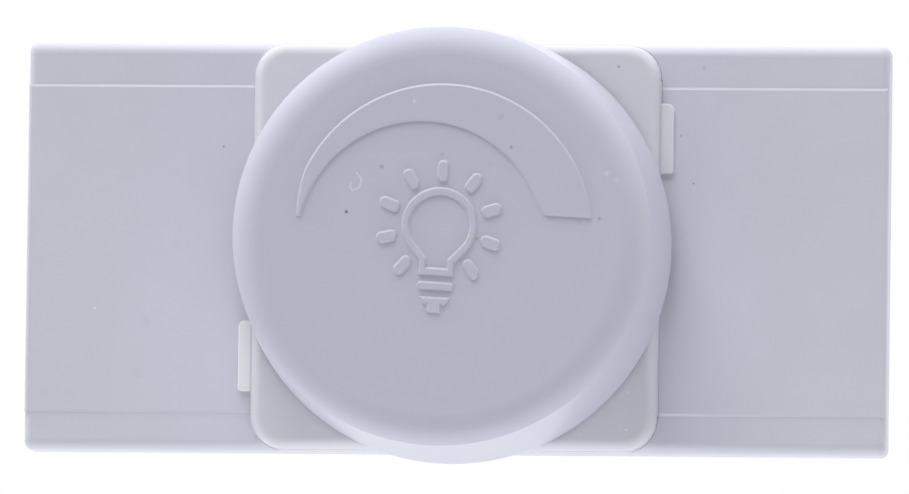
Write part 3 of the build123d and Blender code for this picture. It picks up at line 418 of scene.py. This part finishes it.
def metal(name, colour, roughness=0.3, grain=(0.6, 0.6, 14.0), tarnish=0.06):
    """Sheet, drawn or plated metal: fine parallel lines, light tarnish and uneven gloss."""
    material, t, shader, point = new_finish(name, roughness, metallic=1.0)
    lines = t.noise(t.vector("MULTIPLY", point, grain), 1.0, 4.0, 0.65)
    cloud = t.noise(point, 0.5, 3.0, 0.55)
    base = t.shades(cloud, 0.3, 0.7, colour, tarnish)
    base = t.mix(1.0, base, t.span(lines, 0.3, 0.7, 0.96, 1.03), "MULTIPLY")
    t.set(shader.inputs["Base Color"], base)
    rough = t.math("MULTIPLY_ADD", lines, 0.16, roughness - 0.08)
    rough = t.math("MULTIPLY_ADD", cloud, 0.1, rough)
    t.set(shader.inputs["Roughness"], t.math("MAXIMUM", rough, METAL_GLOSS))
    t.set(shader.inputs["Normal"], t.bump(lines, 0.006, 0.4))
    return material


def layered(name, colour, second, roughness=0.45):
    """Pressed laminate: a woven sheet under a coat, with thin layers at its edges."""
    material, t, shader, point = new_finish(name, roughness, ior=1.52)
    x, y, z = t.split(point)
    warp = t.math("SINE", t.math("MULTIPLY", x, 12.0))
    weft = t.math("SINE", t.math("MULTIPLY", z, 12.0))
    weave = t.math("MULTIPLY_ADD", t.math("MULTIPLY", warp, weft), 0.5, 0.5)
    plies = t.math("MULTIPLY_ADD", t.math("SINE", t.math("MULTIPLY", y, 30.0)), 0.5, 0.5)
    cloud = t.noise(point, 0.4, 3.0, 0.6)
    base = t.mix(t.math("MULTIPLY", weave, 0.35), colour, second)
    base = t.mix(1.0, base, t.span(plies, 0.0, 1.0, 0.95, 1.05), "MULTIPLY")
    base = t.mix(1.0, base, t.span(cloud, 0.3, 0.7, 0.92, 1.08), "MULTIPLY")
    t.set(shader.inputs["Base Color"], base)
    t.set(shader.inputs["Roughness"], t.span(cloud, 0.3, 0.7, roughness - 0.08, roughness + 0.08))
    t.set(shader.inputs["Normal"], t.bump(weave, 0.01, 0.3))
    return material


def sintered(name, colour, roughness=0.7, size=3.0):
    """Ferrite, carbon film or filled epoxy: a dense fine-grained dark body."""
    material, t, shader, point = new_finish(name, roughness, ior=1.6)
    grains = t.noise(point, size, 5.0, 0.75)
    pores = t.cells(point, 2.0 * size)
    base = t.shades(grains, 0.35, 0.65, colour, 0.2)
    base = t.mix(1.0, base, t.span(pores, 0.0, 0.12, 0.7, 1.0), "MULTIPLY")
    t.set(shader.inputs["Base Color"], base)
    t.set(shader.inputs["Roughness"], t.span(grains, 0.3, 0.7, roughness - 0.1, roughness + 0.1))
    t.set(shader.inputs["Normal"], t.bump(grains, 0.02, 0.5))
    return material


def wound(name, colour, pitch=0.55):
    """Enamelled wire in tight turns: rounded ridges with painted shade in the gaps between turns,
    and a glossy coat.
    """
    material, t, shader, point = new_finish(name, 0.28, metallic=0.8)
    x, _, z = t.split(point)
    swirl = t.noise(point, 0.35, 2.0)
    angle = t.math("ADD", t.math("ARCTAN2", z, x), t.math("MULTIPLY", swirl, 0.06))
    ridges = t.math("SINE", t.math("MULTIPLY", angle, WOUND_ROUND / pitch * 0.5))
    turns = t.math("ABSOLUTE", ridges)
    # Painted shade: the colour darkens to a quarter of itself in the gaps between turns
    base = t.mix(t.span(turns, 0.0, 0.5), tuple(0.25 * c for c in colour), colour)
    base = t.mix(1.0, base, t.span(swirl, 0.3, 0.7, 0.88, 1.1), "MULTIPLY")
    t.set(shader.inputs["Base Color"], base)
    t.set(shader.inputs["Normal"], t.bump(turns, 0.12, 0.8))
    shader.inputs["Coat Weight"].default_value = 0.6
    shader.inputs["Coat Roughness"].default_value = 0.12
    return material


def dipped(name, colour, band=None):
    """Lacquered or cased small part: slight orange peel, and darker rings where it is banded."""
    material, t, shader, point = new_finish(name, 0.24, ior=1.5)
    peel = t.noise(point, 1.6, 2.0, 0.5)
    cloud = t.noise(point, 0.5, 2.0, 0.5)
    base = t.shades(cloud, 0.3, 0.7, colour, 0.06)
    if band is not None:
        _, _, z = t.split(point)
        ring = t.math("SINE", t.math("MULTIPLY", z, BAND_WAVE))
        base = t.mix(t.span(ring, 0.86, 0.93, 0.0, 0.8), base, band)
    t.set(shader.inputs["Base Color"], base)
    t.set(shader.inputs["Roughness"], t.span(cloud, 0.3, 0.7, 0.18, 0.26))
    t.set(shader.inputs["Normal"], t.bump(peel, 0.03, 0.35))
    return material


def drawn_glass(name, colour):
    """Clear drawn tube: faint lines along it and a slight haze of uneven gloss."""
    material, t, shader, point = new_finish(name, 0.04, ior=1.5)
    lines = t.noise(t.vector("MULTIPLY", point, (5.0, 5.0, 0.3)), 1.0, 2.0)
    t.set(shader.inputs["Base Color"], t.shades(lines, 0.3, 0.7, colour, 0.02))
    t.set(shader.inputs["Roughness"], t.span(lines, 0.3, 0.7, 0.02, 0.07))
    shader.inputs["Transmission Weight"].default_value = 1.0
    return material


make_camera()
make_world()
make_floor()
make_lamps()

# The colours of what the photograph doesn't show come from the record
colours = {entry["slot"]: tuple(entry["base_color"][:3]) for entry in record["materials"]}
finishes = {
    "plate_plastic": moulded("plate_plastic", WHITE_PLASTIC, 0.36, marks=PLATE_MARKS),
    "knob_plastic": moulded(
        "knob_plastic", KNOB_PLASTIC, 0.32, 0.004, 0.004, marks=KNOB_MARKS, lint=LINT
    ),
    "base_plastic": moulded("base_plastic", BASE_PLASTIC, 0.34, marks=BASE_MARKS, painted_tab_light=PAINTED_TAB_LIGHT),
    "housing_plastic": eroded("housing_plastic", colours["housing_plastic"]),
    "terminal_plastic": eroded("terminal_plastic", colours["terminal_plastic"], 0.5),
    "switch_plastic": moulded("switch_plastic", colours["switch_plastic"], 0.42, 0.05, 0.03),
    "cam_plastic": moulded("cam_plastic", colours["cam_plastic"], 0.4, 0.02, 0.01),
    "laminate": layered("laminate", colours["laminate"], LAMINATE_THREAD),
    "green_laminate": layered(
        "green_laminate", colours["green_laminate"], GREEN_THREAD, 0.32
    ),
    "carbon_film": sintered("carbon_film", colours["carbon_film"], 0.6, 8.0),
    "plated_steel": metal("plated_steel", colours["plated_steel"], 0.34),
    "brass": metal("brass", colours["brass"], 0.28),
    "tinned_brass": metal("tinned_brass", colours["tinned_brass"], 0.4, tarnish=0.08),
    "copper_winding": wound("copper_winding", colours["copper_winding"]),
    "ferrite": sintered("ferrite", colours["ferrite"], 0.7, 3.0),
    "aluminium": metal("aluminium", colours["aluminium"], 0.38, grain=(12.0, 0.6, 0.6)),
    "epoxy": sintered("epoxy", colours["epoxy"], 0.5, 6.0),
    "film_case": dipped("film_case", colours["film_case"]),
    "timing_case": dipped("timing_case", colours["timing_case"]),
    "resistor_lacquer": dipped(
        "resistor_lacquer", colours["resistor_lacquer"], band=RESISTOR_BAND
    ),
    "diac_glass": dipped("diac_glass", colours["diac_glass"]),
    "fuse_glass": drawn_glass("fuse_glass", colours["fuse_glass"]),
}
for part in record["subparts"]:
    node = nodes[part["node"]]
    node.data.materials.clear()
    node.data.materials.append(finishes[part["material_slot"]])

bpy.context.scene.view_settings.view_transform = "Standard"
